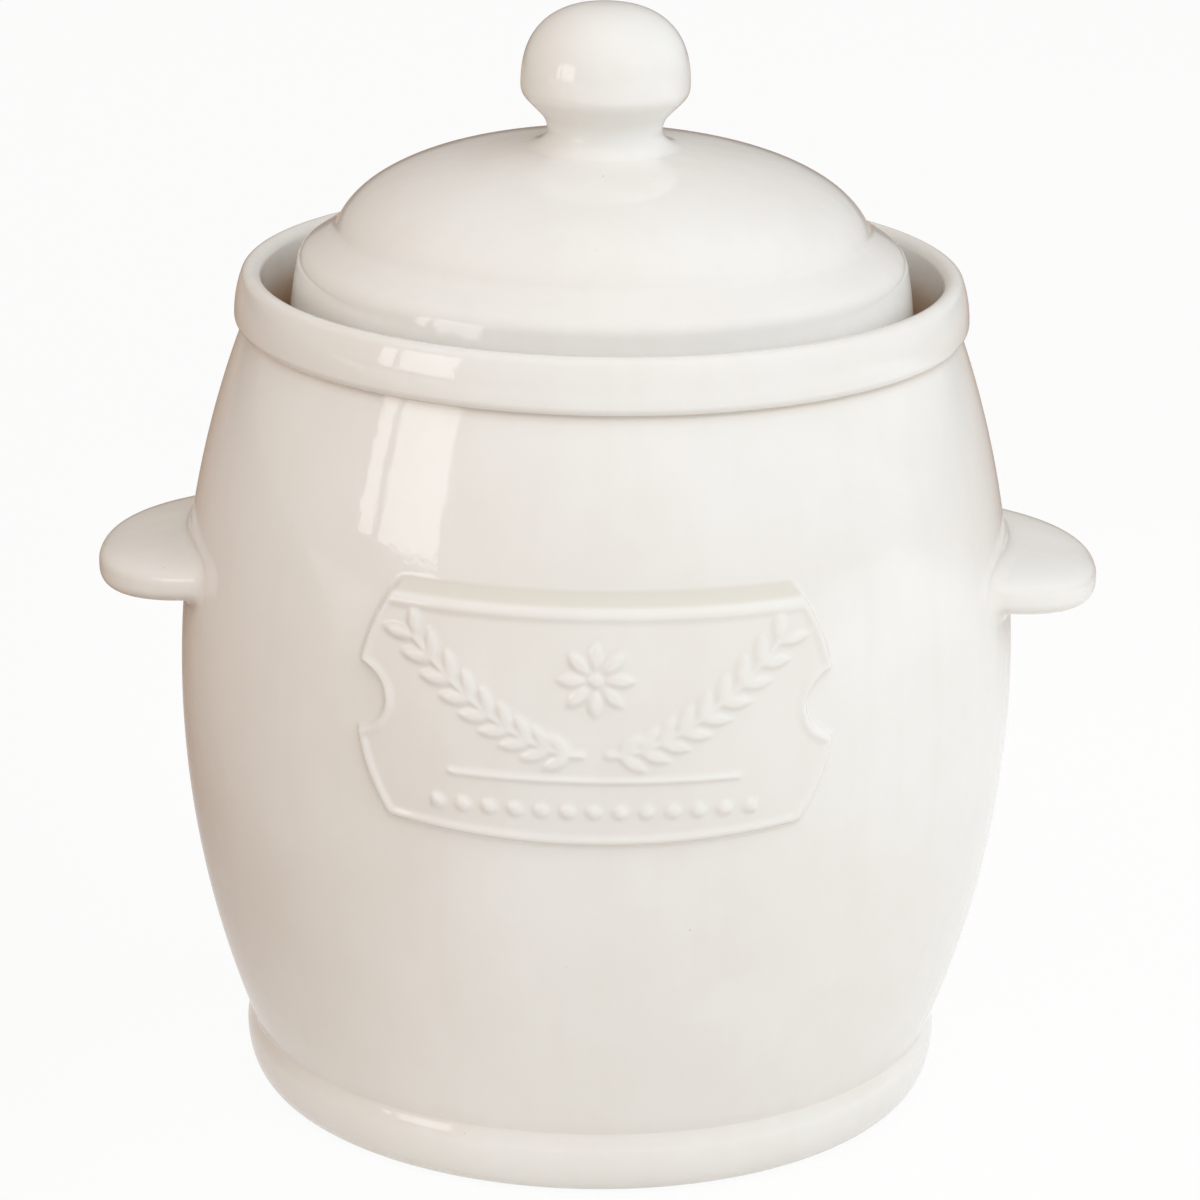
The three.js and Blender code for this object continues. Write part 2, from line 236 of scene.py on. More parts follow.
# Glaze surface: slow ripple plus fine orange peel as a height, with a little roughness change
def makeRippleGroup():
    tree, start, end = newGroup(
        "glazeRipple",
        [
            ("Ripple Scale", "NodeSocketFloat", 70.0),
            ("Peel Scale", "NodeSocketFloat", 300.0),
            ("Peel Share", "NodeSocketFloat", 0.35),
            ("Smoothest", "NodeSocketFloat", 0.03),
            ("Roughest", "NodeSocketFloat", 0.08),
            ("Specks", "NodeSocketFloat", 0.0),
        ],
        [("Height", "NodeSocketFloat"), ("Roughness", "NodeSocketFloat")],
    )
    place = addNode(tree, "ShaderNodeTexCoord", (-1200, -300))
    ripple = addNode(tree, "ShaderNodeTexNoise", (-900, 200), {"Detail": 1.0})
    peel = addNode(tree, "ShaderNodeTexNoise", (-900, -100), {"Detail": 2.0})
    patch = addNode(tree, "ShaderNodeTexNoise", (-900, -400), {"Scale": 35.0, "Detail": 3.0})
    for texture, label in ((ripple, "Ripple Scale"), (peel, "Peel Scale")):
        tree.links.new(place.outputs["Object"], texture.inputs["Vector"])
        tree.links.new(start.outputs[label], texture.inputs["Scale"])
    tree.links.new(place.outputs["Object"], patch.inputs["Vector"])
    fine = mathNode(tree, (-600, -100), "MULTIPLY", peel.outputs["Fac"], start.outputs["Peel Share"])
    both = mathNode(tree, (-400, 100), "ADD", ripple.outputs["Fac"], fine)
    pitted = mathNode(tree, (-200, 100), "SUBTRACT", both, start.outputs["Specks"])
    tree.links.new(pitted, end.inputs["Height"])
    gloss = addNode(tree, "ShaderNodeMapRange", (-400, -300))
    tree.links.new(patch.outputs["Fac"], gloss.inputs["Value"])
    tree.links.new(start.outputs["Smoothest"], gloss.inputs["To Min"])
    tree.links.new(start.outputs["Roughest"], gloss.inputs["To Max"])
    tree.links.new(gloss.outputs[0], end.inputs["Roughness"])
    return tree


# Bare fired clay: grey-buff grains over a slow tone change, with a matt grainy height
def makeClayGroup():
    tree, start, end = newGroup(
        "bareClayGrain",
        [
            ("Clay", "NodeSocketColor", (0.66, 0.58, 0.47, 1)),
            ("Dark Clay", "NodeSocketColor", (0.5, 0.42, 0.32, 1)),
            ("Grain Scale", "NodeSocketFloat", 900.0),
        ],
        [("Colour", "NodeSocketColor"), ("Height", "NodeSocketFloat")],
    )
    place = addNode(tree, "ShaderNodeTexCoord", (-1200, -300))
    slow = addNode(tree, "ShaderNodeTexNoise", (-900, 200), {"Scale": 40.0, "Detail": 5.0})
    grain = addNode(tree, "ShaderNodeTexNoise", (-900, -100), {"Detail": 3.0, "Roughness": 0.7})
    tree.links.new(place.outputs["Object"], slow.inputs["Vector"])
    tree.links.new(place.outputs["Object"], grain.inputs["Vector"])
    tree.links.new(start.outputs["Grain Scale"], grain.inputs["Scale"])
    both = mathNode(tree, (-600, 100), "MULTIPLY", slow.outputs["Fac"], grain.outputs["Fac"])
    tone = addNode(tree, "ShaderNodeMapRange", (-400, 100), {"From Min": 0.12, "From Max": 0.4})
    tree.links.new(both, tone.inputs["Value"])
    fired = mixColour(tree, (-200, 100), tone.outputs[0], start.outputs["Dark Clay"], start.outputs["Clay"])
    tree.links.new(fired, end.inputs["Colour"])
    tree.links.new(grain.outputs["Fac"], end.inputs["Height"])
    return tree


toneGroup = makeToneGroup()
rippleGroup = makeRippleGroup()
clayGroup = makeClayGroup()

glazeLook = dict(
    cream=(0.83, 0.82, 0.79, 1),
    warmCream=(0.805, 0.785, 0.745, 1),
    # grey of thick glaze; on the plaque's hollow ledge it is also painted shade
    thickShadeColour=(0.68, 0.65, 0.57, 1),
    # brown of pooled glaze and of painted shade in creases, corners and the gap round the lid
    poolColour=(0.66, 0.43, 0.25, 1),
    speckColour=(0.30, 0.23, 0.17, 1),
    ripple=0.0001,  # metres from the lowest to the highest ripple
    bareColour=(0.68, 0.60, 0.49, 1),
    bareRoughness=0.8,
)
clayLook = dict(roughness=0.78, grain=0.00012)  # grain in metres


# Glossy cream glaze; where the piece's "bare" value is one, unglazed clay shows instead
def makeGlaze(name, withBareRing=False):
    material = bpy.data.materials.new(name)
    material.use_nodes = True
    tree = material.node_tree
    shader = tree.nodes["Principled BSDF"]
    shader.inputs["IOR"].default_value = 1.5
    # The two attributes read here carry the brown and grey tones, painted shade included, where each piece
    # sets them
    pool = addNode(tree, "ShaderNodeAttribute", (-900, 0), attribute_name="pool")
    thick = addNode(tree, "ShaderNodeAttribute", (-900, 200), attribute_name="thick")
    colours = {
        "Cream": glazeLook["cream"],
        "Warm Cream": glazeLook["warmCream"],
        "Thick Shade Colour": glazeLook["thickShadeColour"],
        "Pool Shade Colour": glazeLook["poolColour"],
        "Speck Colour": glazeLook["speckColour"],
    }
    tone = addNode(tree, "ShaderNodeGroup", (-600, 200), node_tree=toneGroup)
    for label, colour in colours.items():
        tone.inputs[label].default_value = colour
    tree.links.new(thick.outputs["Fac"], tone.inputs["Thick Shade"])
    tree.links.new(pool.outputs["Fac"], tone.inputs["Pool Shade"])
    ripple = addNode(tree, "ShaderNodeGroup", (-600, -200), node_tree=rippleGroup)
    tree.links.new(tone.outputs["Specks"], ripple.inputs["Specks"])
    bump = addNode(tree, "ShaderNodeBump", (-300, -300), {"Distance": glazeLook["ripple"]})
    tree.links.new(ripple.outputs["Height"], bump.inputs["Height"])
    tree.links.new(bump.outputs["Normal"], shader.inputs["Normal"])
    colour, roughness = tone.outputs["Colour"], ripple.outputs["Roughness"]
    if withBareRing:
        bare = addNode(tree, "ShaderNodeAttribute", (-900, -500), attribute_name="bare")
        clay = addNode(tree, "ShaderNodeGroup", (-600, -500), node_tree=clayGroup)
        clay.inputs["Clay"].default_value = glazeLook["bareColour"]
        colour = mixColour(tree, (-300, 200), bare.outputs["Fac"], colour, clay.outputs["Colour"])
        dull = addNode(tree, "ShaderNodeMix", (-300, 0), data_type="FLOAT")
        dull.inputs[3].default_value = glazeLook["bareRoughness"]
        tree.links.new(bare.outputs["Fac"], dull.inputs[0])
        tree.links.new(roughness, dull.inputs[2])
        roughness = dull.outputs[0]
    tree.links.new(colour, shader.inputs["Base Color"])
    tree.links.new(roughness, shader.inputs["Roughness"])
    return material


# Matt clay for the weights
def makeBareClay():
    material = bpy.data.materials.new("bareClay")
    material.use_nodes = True
    tree = material.node_tree
    shader = tree.nodes["Principled BSDF"]
    shader.inputs["Roughness"].default_value = clayLook["roughness"]
    clay = addNode(tree, "ShaderNodeGroup", (-500, 0), node_tree=clayGroup)
    bump = addNode(tree, "ShaderNodeBump", (-250, -200), {"Distance": clayLook["grain"]})
    tree.links.new(clay.outputs["Colour"], shader.inputs["Base Color"])
    tree.links.new(clay.outputs["Height"], bump.inputs["Height"])
    tree.links.new(bump.outputs["Normal"], shader.inputs["Normal"])
    return material


creamGlaze = makeGlaze("creamGlaze")
footGlaze = makeGlaze("footGlaze", withBareRing=True)
bareClay = makeBareClay()
print("materials ready")


# Barrel wall

barrel = dict(
    bellyRadius=105, bellyHeight=108, arc=252, wall=8, bottom=15.0, top=198.4, channelWall=84.2, sides=288,
    brown=0.95, brownTop=200, brownFull=190, brownEnd=178,  # brown painted shade with pooled glaze, inside by the channel, deep in the gap round the lid
)
creases = dict(  # circles of brown painted shade, with the glaze that gathers there: radius, height, reach and share of the pool tone
    foot=(87.4, 15.6, 2.6, 0.06),
    rim=(88.8, 197.3, 1.3, 0.15),
)


# A crease's share of painted shade and pooled glaze times the nearness to its circle
def creasePoolShade(profile, name):
    r, z, reach, share = creases[name]
    return share * nearness(profile, r, z, reach)


# Belly radius less the arc's radius, plus the root of the arc squared less the height from the belly squared
def barrelRadius(z):
    fromBelly = z - barrel["bellyHeight"]
    return barrel["bellyRadius"] - barrel["arc"] + np.sqrt(barrel["arc"] ** 2 - fromBelly**2)


# The outside less the wall, but never narrower than the channel's wall above the belly
def barrelInside(z):
    return np.where(
        z > barrel["bellyHeight"],
        np.maximum(barrelRadius(z) - barrel["wall"], barrel["channelWall"]),
        barrelRadius(z) - barrel["wall"],
    )


# The outside going up and the inside coming down, as one closed loop carried round the axis
def makeBarrel():
    z = np.linspace(barrel["bottom"], barrel["top"], 110)
    outer, inner = np.column_stack([barrelRadius(z), z]), np.column_stack([barrelInside(z), z])
    profile = joinRuns(outer, inner[::-1], step=3)
    outside = (profile[:, 0] > barrelRadius(profile[:, 1]) - 1)[:, None]
    # painted shade: brown, with pooled glaze, down the inside of the wall into the gap round the lid
    brown = barrel["brown"] * smoothStep(barrel["brownTop"], barrel["brownFull"], profile[:, 1])
    brown = brown * (profile[:, 1] > barrel["brownEnd"])
    pool = np.where(outside, creasePoolShade(profile, "foot") + creasePoolShade(profile, "rim"), brown[:, None])
    mesh = meshFromGrid("barrelWall", turnGrid(profile, barrel["sides"]), loopRows=True, pool=pool)
    placePiece("barrelWall", mesh, "crock", "barrel_wall", creamGlaze)


makeBarrel()


# Foot and floor

foot = dict(
    outer=89.1, lip=5.0, lipHeight=11.7, standOuter=83.0, standInner=68.0, recess=3.5, recessInner=65.0,
    crease=2.6, fadeHeight=20.6, sink=0.06, sinkSpan=2.2,
    wallInside=79.8, coveInner=72.8, floor=13.0, seat=15.9,
    hidden=86.6, hiddenDrop=0.4,  # face inside the barrel's wall
    outsideFrom=86, bareTop=0.5, bareFull=0.2, sides=288,
)


# Bead's lower side is a quarter ellipse and its upper side a quarter circle; a soft maximum joins it to the
# barrel and then sinks just below it
def makeFoot():
    z = np.linspace(foot["lipHeight"], foot["fadeHeight"], 80)
    rise = np.clip(z - foot["lipHeight"], 0, foot["lip"])
    bead = foot["outer"] - foot["lip"] + np.sqrt(foot["lip"] ** 2 - rise**2)
    sink = foot["sink"] * smoothStep(foot["fadeHeight"] - foot["sinkSpan"], foot["fadeHeight"], z)
    side = np.column_stack([softMax(bead, barrelRadius(z), foot["crease"]) - sink, z])
    turn = np.linspace(0, np.pi / 2, 16)
    lowerR = foot["standOuter"] + (foot["outer"] - foot["standOuter"]) * np.sin(turn)
    lower = np.column_stack([lowerR, foot["lipHeight"] * (1 - np.cos(turn))])
    coveR = foot["coveInner"] + (foot["wallInside"] - foot["coveInner"]) * np.cos(turn)
    cove = np.column_stack([coveR, foot["seat"] - (foot["seat"] - foot["floor"]) * np.sin(turn)])
    profile = joinRuns(
        [[0, foot["recess"]], [foot["recessInner"], foot["recess"]], [foot["standInner"], 0]],
        lower,
        side,
        [[foot["hidden"], foot["fadeHeight"] - foot["hiddenDrop"]], [foot["hidden"], foot["seat"]]],
        cove,
        [[0, foot["floor"]]],
        step=2.5,
    )
    outside = (profile[:, 0] > foot["outsideFrom"])[:, None]
    # painted shade, with pooled glaze, in the crease where the bead meets the barrel
    pool = creasePoolShade(profile, "foot") * outside
    bare = smoothStep(foot["bareTop"], foot["bareFull"], profile[:, 1])[:, None]
    mesh = meshFromGrid("footBase", turnGrid(profile, foot["sides"]), pool=pool, bare=bare)
    placePiece("footBase", mesh, "crock", "foot_base", footGlaze)


makeFoot()


# Rim band

rim = dict(
    widest=91.0, widestHeight=199.7, underRound=2.3, faceArc=27, faceTop=209.2, inner=84.4, bottom=197.4,
    crease=0.9, fadeHeight=195.0, sink=0.06, sinkSpan=1.4,
    bend=204, wallTop=199, wallBottom=185.5, proud=0.12,  # inside, lying just over the barrel's edge
    hidden=87.2, hiddenTop=195.8,  # face inside the barrel's wall
    outsideFrom=87.3, brown=0.95, brownTop=207, brownFull=191, sides=288,
)


# Lower round is a quarter circle met by the barrel through a soft maximum; the face leans in as a parabola to
# the crest, and the inside runs down over the barrel's own edge
def makeRim():
    low = np.linspace(rim["fadeHeight"], rim["widestHeight"], 60)
    drop = np.clip(rim["widestHeight"] - low, 0, rim["underRound"])
    under = rim["widest"] - rim["underRound"] + np.sqrt(rim["underRound"] ** 2 - drop**2)
    under = np.where(low < rim["bottom"], 0, under)
    sink = rim["sink"] * smoothStep(rim["fadeHeight"] + rim["sinkSpan"], rim["fadeHeight"], low)
    lower = np.column_stack([softMax(under, barrelRadius(low), rim["crease"]) - sink, low])
    z = np.linspace(rim["widestHeight"], rim["faceTop"], 16)
    face = np.column_stack([rim["widest"] - (z - rim["widestHeight"]) ** 2 / (2 * rim["faceArc"]), z])
    lean = math.atan((rim["faceTop"] - rim["widestHeight"]) / rim["faceArc"])
    crest = (face[-1, 0] - rim["inner"]) / (1 + math.cos(lean))
    crestZ = rim["faceTop"] - crest * math.sin(lean)
    top = arcRun(rim["inner"] + crest, crestZ, crest, math.degrees(lean), 180, 22)
    wall = barrel["channelWall"] - rim["proud"]
    inside = [[rim["inner"], rim["bend"]], [wall, rim["wallTop"]], [wall, rim["wallBottom"]]]
    hidden = [[rim["hidden"], rim["wallBottom"]], [rim["hidden"], rim["hiddenTop"]]]
    profile = joinRuns(lower, face, top, inside, hidden)
    outside = (profile[:, 0] > rim["outsideFrom"])[:, None]
    # painted shade: brown, with pooled glaze, down the inside into the gap round the lid, and in the crease
    # under the band
    brown = rim["brown"] * smoothStep(rim["brownTop"], rim["brownFull"], profile[:, 1])[:, None]
    pool = creasePoolShade(profile, "rim") * outside + brown * ~outside
    mesh = meshFromGrid("rimBand", turnGrid(profile, rim["sides"]), loopRows=True, pool=pool)
    placePiece("rimBand", mesh, "crock", "rim_band", creamGlaze)


makeRim()


# Water channel

channel = dict(
    floor=184.0, under=177.0, outer=84.25, collarOuter=67.17, collarInner=61.67, collarTop=203.0, cove=3.5,
    edge=2.0, lap=0.4, wallLap=0.8,  # laps into the barrel's wall
    brown=0.95, brownRise=9, brownFrom=66, sides=224,
)


# A floor with a cove at each wall, a round-topped collar, and an underside rounded at its free edge
def makeChannel():
    cove, edge = channel["cove"], channel["edge"]
    crest = (channel["collarOuter"] - channel["collarInner"]) / 2
    profile = joinRuns(
        arcRun(channel["collarInner"] + edge, channel["under"] + edge, edge, 180, 270, 8),
        [[barrelInside(np.float64(channel["under"])) + channel["lap"], channel["under"]]],
        [[channel["outer"] + channel["wallLap"], channel["floor"] + cove]],
        arcRun(channel["outer"] - cove, channel["floor"] + cove, cove, 0, -90, 10),
        arcRun(channel["collarOuter"] + cove, channel["floor"] + cove, cove, -90, -180, 10),
        arcRun(channel["collarInner"] + crest, channel["collarTop"] - crest, crest, 0, 180, 18),
        step=2,
    )
    # painted shade: brown, with pooled glaze, on the floor and cove at the bottom of the gap round the lid
    pool = channel["brown"] * smoothStep(channel["brownRise"], 0, profile[:, 1] - channel["floor"])
    pool = (pool * (profile[:, 0] > channel["brownFrom"]))[:, None]
    mesh = meshFromGrid("waterChannel", turnGrid(profile, channel["sides"]), loopRows=True, pool=pool)
    placePiece("waterChannel", mesh, "crock", "water_channel", creamGlaze)


makeChannel()


# Lid bell

lid = dict(
    skirtFoot=77.95, skirtBottom=187.05, skirtLoss=2.35, skirtSpan=25, edge=2.75,
    shoulderStart=212.5, shoulder=6.0, shoulderEnd=57,
    creaseR=69.3, creaseZ=223.5, crease=4.0, creaseFrom=238, creaseTo=204,
    domeRadius=66.8, domeFoot=216.8, domeRise=25.4, domePower=2.4, domeEnd=78.5,
    innerRadius=70.0, innerTop=236.2, innerRise=33,
    ventCount=4, ventWidth=10, ventHeight=7, ventFade=2.2, ventPower=4, sides=352,
)


# Rise times the root of one less the radius share to the dome's power
def domeHeight(r):
    share = np.clip(r / lid["domeRadius"], 0, 1)
    return lid["domeFoot"] + lid["domeRise"] * np.sqrt(1 - share ** lid["domePower"])


# The same curve by angle: r is R times sin t to 2 over the power, z is the rise times cos t
def domeRun(radius, foot, rise, fromDeg, toDeg, count):
    t = np.radians(np.linspace(fromDeg, toDeg, count))
    return np.column_stack([radius * np.sin(t) ** (2 / lid["domePower"]), foot + rise * np.cos(t)])


# Skirt's radius falls as a parabola, a round shoulder turns in, a wide hollow crease runs up into the dome.
# Each vent lifts the skirt's lower edge by the root of one less its width share to the fourth, and fades out
# upwards over a little more than twice its height
def makeLid():
    z = np.linspace(lid["skirtBottom"], lid["shoulderStart"], 30)
    up = (z - lid["skirtBottom"]) / lid["skirtSpan"]
    skirt = np.column_stack([lid["skirtFoot"] - lid["skirtLoss"] * up**2, z])
    step = skirt[-1] - skirt[-2]
    lean = math.degrees(math.atan2(-step[0], step[1]))
    outward = np.array([math.cos(math.radians(lean)), math.sin(math.radians(lean))])
    centre = skirt[-1] - lid["shoulder"] * outward
    outer = joinRuns(
        skirt,
        arcRun(*centre, lid["shoulder"], lean, lid["shoulderEnd"], 20),
        arcRun(lid["creaseR"], lid["creaseZ"], lid["crease"], lid["creaseFrom"], lid["creaseTo"], 12),
        domeRun(lid["domeRadius"], lid["domeFoot"], lid["domeRise"], lid["domeEnd"], 0, 60),
        step=0.8,
    )
    profile = joinRuns(
        domeRun(lid["innerRadius"], lid["innerTop"] - lid["innerRise"], lid["innerRise"], 0, 90, 40),
        arcRun(lid["skirtFoot"] - lid["edge"], lid["skirtBottom"], lid["edge"], -180, 0, 20),
        soften(outer, 8),
        step=3.2,
    )
    profile[[0, -1], 0] = 0
    grid = turnGrid(profile, lid["sides"])
    turn = np.linspace(0, 2 * np.pi, lid["sides"], endpoint=False)
    pitch = 2 * np.pi / lid["ventCount"]
    aside = np.abs((turn + pitch / 2) % pitch - pitch / 2) * lid["skirtFoot"] / (lid["ventWidth"] / 2)
    lift = lid["ventHeight"] * np.sqrt(np.clip(1 - aside ** lid["ventPower"], 0, 1))
    lowest = lid["skirtBottom"] - lid["edge"]
    share = smoothStep(lowest + lid["ventFade"] * lid["ventHeight"], lowest, profile[:, 1])
    grid[:, :, 2] += share[:, None] * lift
    mesh = meshFromGrid("lidBell", grid)
    placePiece("lidBell", mesh, "lid", "lid_bell", creamGlaze)


makeLid()


# Lid knob

knob = dict(
    neck=14.2, neckHeight=245.9, flare=6.3, apron=27, apronSink=0.25, cove=5.0, underSlope=45, underRound=4.5,
    widest=20.85, widestHeight=256.5, rise=20.1, power=2.44, hidden=24, hiddenHeight=237, sides=160,
)


# A quarter ellipse flares from the dome up to the neck, a cove and a sloping underside lead out to a rounded
# edge at the widest circle, and a superellipse closes the top. The foot's edge and underside lie in the dome
def makeKnob():
    foot = knob["neck"] + knob["flare"]
    r = np.linspace(knob["apron"], foot, 14)[:-1]
    sink = knob["apronSink"] * ((r - foot) / (knob["apron"] - foot)) ** 2
    apron = np.column_stack([r, domeHeight(r) - sink])
    turn = np.linspace(0, np.pi / 2, 40)
    drop = knob["neckHeight"] - domeHeight(foot)
    flare = np.column_stack([foot - knob["flare"] * np.sin(turn), knob["neckHeight"] - drop * np.cos(turn)])
    slope = knob["underSlope"]
    cove = arcRun(knob["neck"] + knob["cove"], knob["neckHeight"], knob["cove"], 180, 180 - slope, 12)
    under = knob["underRound"]
    edge = arcRun(knob["widest"] - under, knob["widestHeight"], under, -slope, 0, 12)
    fullness = 2 / knob["power"]
    capR = knob["widest"] * np.cos(turn[:-1]) ** fullness
    cap = np.column_stack([capR, knob["widestHeight"] + knob["rise"] * np.sin(turn[:-1]) ** fullness])
    top = [[0, knob["widestHeight"] + knob["rise"]]]
    hidden = [[0, knob["hiddenHeight"]], [knob["hidden"], knob["hiddenHeight"]]]
    outer = soften(joinRuns(apron, flare, cove, edge, cap, top, step=0.6), 7)
    profile = joinRuns(hidden, outer, step=2.5)
    mesh = meshFromGrid("lidKnob", turnGrid(profile, knob["sides"]))
    placePiece("lidKnob", mesh, "lid", "lid_knob", creamGlaze)


makeKnob()


# Handles

lug = dict(
    height=136.6, halfWidth=37, centre=89.6, reach=35.8, halfThick=6.3, tipPower=3.0, edgePower=3.2,
    fillet=3.0, droop=7, rootShare=0.975, rootSpacing=1.5, tipSpacing=1.15, pool=0.06, poolReach=2,
    sink=0.03, skirt=0.9, skirtSink=0.12, heartDepth=5,  # edge and underside within the barrel's wall
    around=128, along=64,
)


# Rings round a lug: each is a superellipse whose half width follows the plan's oval and whose half thickness
# closes towards the tip; below the fillet's height the ring spreads by the fillet's quarter circle until it
# lies on the barrel
def makeHandle(name, nodeName, side):
    t = np.linspace(0, 2 * np.pi, lug["around"], endpoint=False)
    cosT = np.sign(np.cos(t)) * np.abs(np.cos(t)) ** (2 / lug["edgePower"])
    sinT = np.sign(np.sin(t)) * np.abs(np.sin(t)) ** (2 / lug["edgePower"])
    root = barrelRadius(np.float64(lug["height"]))
    rootX = math.sqrt(root**2 - (lug["rootShare"] * lug["halfWidth"]) ** 2)
    phi0 = math.acos((rootX - lug["centre"]) / lug["reach"])
    phi = phi0 * (1 - np.linspace(0, 1, lug["along"]) ** lug["rootSpacing"]) ** lug["tipSpacing"]
    width = lug["halfWidth"] * np.sin(phi)
    out = (np.cos(phi) - math.cos(phi0)) / (1 - math.cos(phi0))
    thick = lug["halfThick"] * (1 - out ** lug["tipPower"]) ** (1 / lug["tipPower"])
    y, z = width[:, None] * cosT, thick[:, None] * sinT
    tip = lug["centre"] + lug["reach"]
    onBarrel = np.sqrt(barrelRadius(lug["height"] + z) ** 2 - y**2)
    x = onBarrel + out[:, None] * (tip - onBarrel)
    # spread of the fillet: R less the root of R squared less what is left of its height squared
    left = np.clip(lug["fillet"] - (x - onBarrel), 0, lug["fillet"])
    spread = lug["fillet"] - np.sqrt(lug["fillet"] ** 2 - left**2)
    nx = np.abs(cosT) ** (lug["edgePower"] - 1) * np.sign(cosT) / lug["halfWidth"]
    nz = np.abs(sinT) ** (lug["edgePower"] - 1) * np.sign(sinT) / lug["halfThick"]
    long = np.hypot(nx, nz)
    y = y + spread * nx / long
    z = z + spread * nz / long
    z = lug["height"] + z - np.tan(np.radians(lug["droop"])) * (x - root)
    rise = x - onBarrel
    x = np.sqrt(barrelRadius(z) ** 2 - y**2) + rise - lug["sink"] * (rise < 1e-6)
    skirtY, skirtZ = y[:1] + lug["skirt"] * nx / long, z[:1] + lug["skirt"] * nz / long
    skirtX = np.sqrt(barrelRadius(skirtZ) ** 2 - skirtY**2) - lug["skirtSink"]
    middle = np.array([[root - lug["heartDepth"]], [0], [lug["height"]]])
    heart = np.broadcast_to(middle, (3, lug["around"]))
    x, y, z = (np.vstack(rows) for rows in zip(heart[:, None], (skirtX, skirtY, skirtZ), (x, y, z)))
    grid = np.stack([side * x, side * y, z], axis=-1)
    grid[-1] = grid[-1].mean(axis=0)
    # painted shade, with pooled glaze, at the lug's root against the barrel, fading out along the lug
    pool = lug["pool"] * np.exp(-((rise.mean(axis=1) / lug["poolReach"]) ** 2))
    mesh = meshFromGrid(name, grid, pool=np.r_[0, 0, pool][:, None])
    placePiece(name, mesh, "crock", nodeName, creamGlaze)


makeHandle("rightHandle", "right_handle", 1)
makeHandle("leftHandle", "left_handle", -1)


# Label plaque

plaque = dict(
    halfWidth=56.2, bottom=98, top=155.2, waist=129.5, sideArc=54, bow=2.8, cornerX=48.1,
    notch=8, notchOut=1.1, proudBottom=1.4, proudTop=3.4, proudLimit=1.1, bevel=3.6, bevelPower=1.6,
    edge=1.2, edgeOut=0.3, margin=5.5,
    ridgeInset=1.4, ridgeHalf=1.1, ridgeHeight=0.65, ornament=1.1, ornamentInset=3, rounding=3,
    lift=0.01, sink=0.03, sinkSpan=5, backDepth=0.5,  # sheet's edge and back within the barrel's wall
    ledgeThickShade=0.8, ledgeSoft=0.6, faceThick=0.12, faceFrom=2.5, faceFull=3.5,  # where the glaze lies thick, and on the ledge painted shade of the hollow
    columns=380, rows=224, backRows=8,
)
garland = dict(
    startX=4, startZ=121, spanX=39, riseZ=26, bend=1.7, pairs=9, firstPair=0.03, lastPair=0.97, lean=0.62,
    leafHalf=4.3, leafWide=1.75, leafOut=0.95, leafRound=0.55,
    grooveDepth=0.35, grooveHalf=0.4, grooveFrom=0.1, grooveFull=0.5,
    stem=0.55, stemFade=0.5, stemBefore=2, stemHeight=0.7,
    rosetteZ=139, petals=8, petalOut=5.6, petalHalf=4.0, petalWide=1.9, button=2.1, buttonRound=1.1,
    ruleZ=114.8, ruleHalf=34, ruleWide=0.95, ruleRound=0.7, ruleFade=1.5, ruleHeight=0.85,
    beadZ=107.0, beadPitch=6.0, beadRadius=2.0, beadRound=0.9, beadReach=37, beadHeight=0.9,
)


# A leaf is one less the square of its length share, less its width share, with a groove along its middle
def leafRelief(x, z, centreX, centreZ, angle, half, halfWide):
    along = (x - centreX) * math.cos(angle) + (z - centreZ) * math.sin(angle)
    across = (z - centreZ) * math.cos(angle) - (x - centreX) * math.sin(angle)
    inside = 1 - (along / half) ** 2 - np.abs(across) / halfWide
    groove = garland["grooveDepth"] * np.exp(-((across / garland["grooveHalf"]) ** 2))
    groove = groove * smoothStep(garland["grooveFrom"], garland["grooveFull"], inside)
    return smoothStep(0, garland["leafRound"], inside) - groove


# Two leafy sprays rise to the sides as a power curve, with paired leaves, round a rosette of petals; a rule
# and a row of beads lie below. Only the right half is worked out, on the distance from the middle
def ornamentRelief(x, z):
    x = np.abs(x)
    parts = []
    for share in np.linspace(garland["firstPair"], garland["lastPair"], garland["pairs"]):
        stemX = garland["startX"] + garland["spanX"] * share
        stemZ = garland["startZ"] + garland["riseZ"] * share ** garland["bend"]
        slope = garland["riseZ"] * garland["bend"] * share ** (garland["bend"] - 1) / garland["spanX"]
        for lean in (garland["lean"], -garland["lean"]):
            angle = math.atan(slope) + lean
            reach = garland["leafHalf"] * garland["leafOut"]
            leafX, leafZ = stemX + reach * math.cos(angle), stemZ + reach * math.sin(angle)
            parts.append(leafRelief(x, z, leafX, leafZ, angle, garland["leafHalf"], garland["leafWide"]))
    along = np.clip((x - garland["startX"]) / garland["spanX"], 0, 1)
    stem = np.abs(z - garland["startZ"] - garland["riseZ"] * along ** garland["bend"])
    onStem = smoothStep(0, 1, x - garland["startX"] + garland["stemBefore"])
    onStem = onStem * smoothStep(0, 1, garland["startX"] + garland["spanX"] - x)
    stemEdge = garland["stem"] + garland["stemFade"]
    parts.append(garland["stemHeight"] * smoothStep(stemEdge, garland["stem"], stem) * onStem)
    for turn in 2 * np.pi * np.arange(garland["petals"]) / garland["petals"]:
        petalX = garland["petalOut"] * math.cos(turn)
        petalZ = garland["rosetteZ"] + garland["petalOut"] * math.sin(turn)
        parts.append(leafRelief(x, z, petalX, petalZ, turn, garland["petalHalf"], garland["petalWide"]))
    fromRosette = np.hypot(x, z - garland["rosetteZ"])
    parts.append(smoothStep(0, garland["buttonRound"], garland["button"] - fromRosette))
    rule = smoothStep(0, garland["ruleRound"], garland["ruleWide"] - np.abs(z - garland["ruleZ"]))
    rule = rule * smoothStep(0, garland["ruleFade"], garland["ruleHalf"] - x)
    pitch = garland["beadPitch"]
    bead = np.hypot((x + pitch / 2) % pitch - pitch / 2, z - garland["beadZ"])
    beads = smoothStep(0, garland["beadRound"], garland["beadRadius"] - bead) * (x < garland["beadReach"])
    return np.maximum.reduce(parts + [garland["ruleHeight"] * rule, garland["beadHeight"] * beads])


